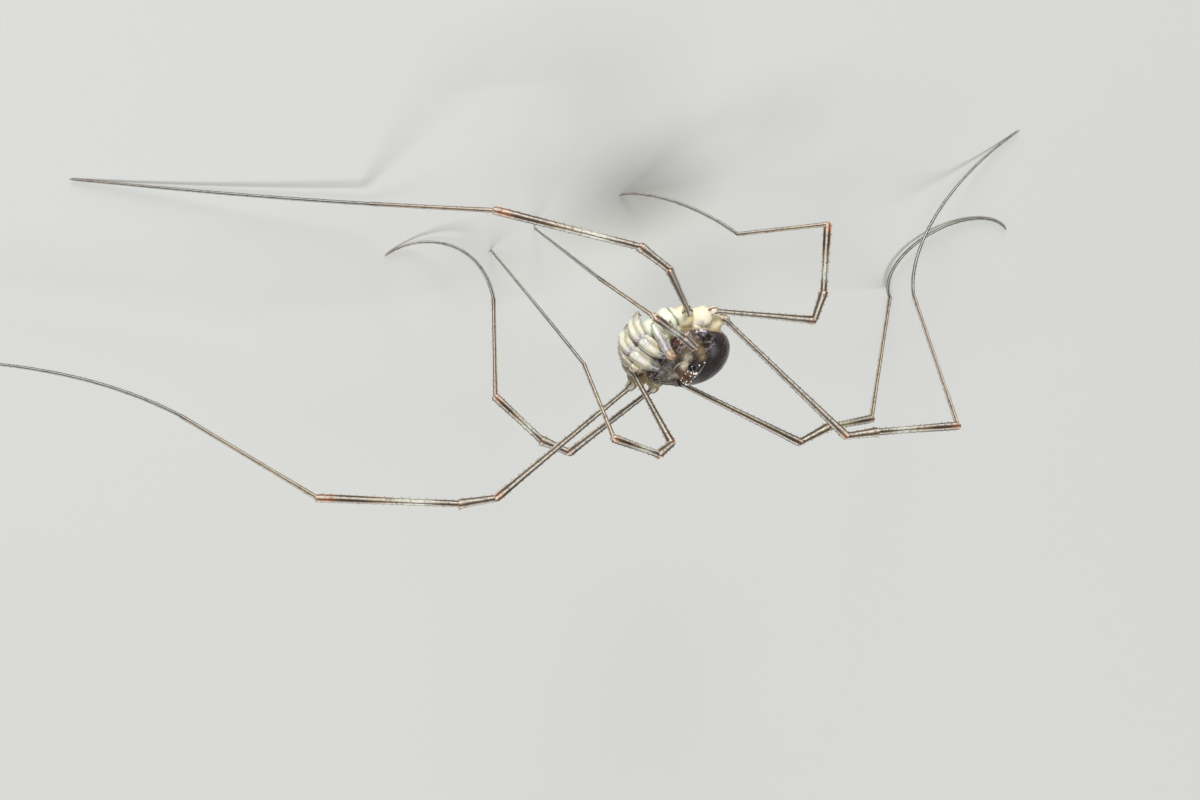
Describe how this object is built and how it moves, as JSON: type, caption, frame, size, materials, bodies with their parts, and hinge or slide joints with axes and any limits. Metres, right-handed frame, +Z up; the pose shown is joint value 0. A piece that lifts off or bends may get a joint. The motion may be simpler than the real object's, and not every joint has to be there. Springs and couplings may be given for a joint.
{
  "type": "harvestman",
  "caption": "Life-size still model of a small harvestman, with a rounded two-tone body, a raised pair of eyes and long thin bent legs, standing on its feet with one long leg held out.",
  "frame": {"origin": "on the floor, under the middle of the box round the whole animal", "axes": "+Z up, the head towards -Y, the animal's right side towards -X"},
  "size_m": [0.0188, 0.0436, 0.0098],
  "materials": {
    "prosoma": "satin dark brown cuticle with pale coxae",
    "opisthosoma": "glossy dark purple-brown cuticle",
    "ocularium": "reddish brown mound with white tubercles",
    "eye": "polished black",
    "chelicera": "translucent cream with dark claw tips",
    "pedipalp": "translucent cream",
    "leg": "striped grey-beige with brown bands"
  },
  "bodies": {
    "root": {"prosoma": "prosoma", "opisthosoma": "opisthosoma", "ocularium": "ocularium", "eye_left": "eye", "eye_right": "eye", "chelicera_left_base": "chelicera", "chelicera_left_hand": "chelicera", "pedipalp_left_femur": "pedipalp", "pedipalp_left_tibia": "pedipalp", "pedipalp_left_tarsus": "pedipalp", "chelicera_right_base": "chelicera", "chelicera_right_hand": "chelicera", "pedipalp_right_femur": "pedipalp", "pedipalp_right_tibia": "pedipalp", "pedipalp_right_tarsus": "pedipalp", "leg_left_1_femur": "leg", "leg_left_1_patella": "leg", "leg_left_1_tibia": "leg", "leg_left_1_metatarsus": "leg", "leg_left_1_tarsus": "leg", "leg_left_2_femur": "leg", "leg_left_2_patella": "leg", "leg_left_2_tibia": "leg", "leg_left_2_metatarsus": "leg", "leg_left_2_tarsus": "leg", "leg_left_3_femur": "leg", "leg_left_3_patella": "leg", "leg_left_3_tibia": "leg", "leg_left_3_metatarsus": "leg", "leg_left_3_tarsus": "leg", "leg_left_4_femur": "leg", "leg_left_4_patella": "leg", "leg_left_4_tibia": "leg", "leg_left_4_metatarsus": "leg", "leg_left_4_tarsus": "leg", "leg_right_1_femur": "leg", "leg_right_1_patella": "leg", "leg_right_1_tibia": "leg", "leg_right_1_metatarsus": "leg", "leg_right_1_tarsus": "leg", "leg_right_2_femur": "leg", "leg_right_2_patella": "leg", "leg_right_2_tibia": "leg", "leg_right_2_metatarsus": "leg", "leg_right_2_tarsus": "leg", "leg_right_3_femur": "leg", "leg_right_3_patella": "leg", "leg_right_3_tibia": "leg", "leg_right_3_metatarsus": "leg", "leg_right_3_tarsus": "leg", "leg_right_4_femur": "leg", "leg_right_4_patella": "leg", "leg_right_4_tibia": "leg", "leg_right_4_metatarsus": "leg", "leg_right_4_tarsus": "leg"}
  },
  "joints": []
}
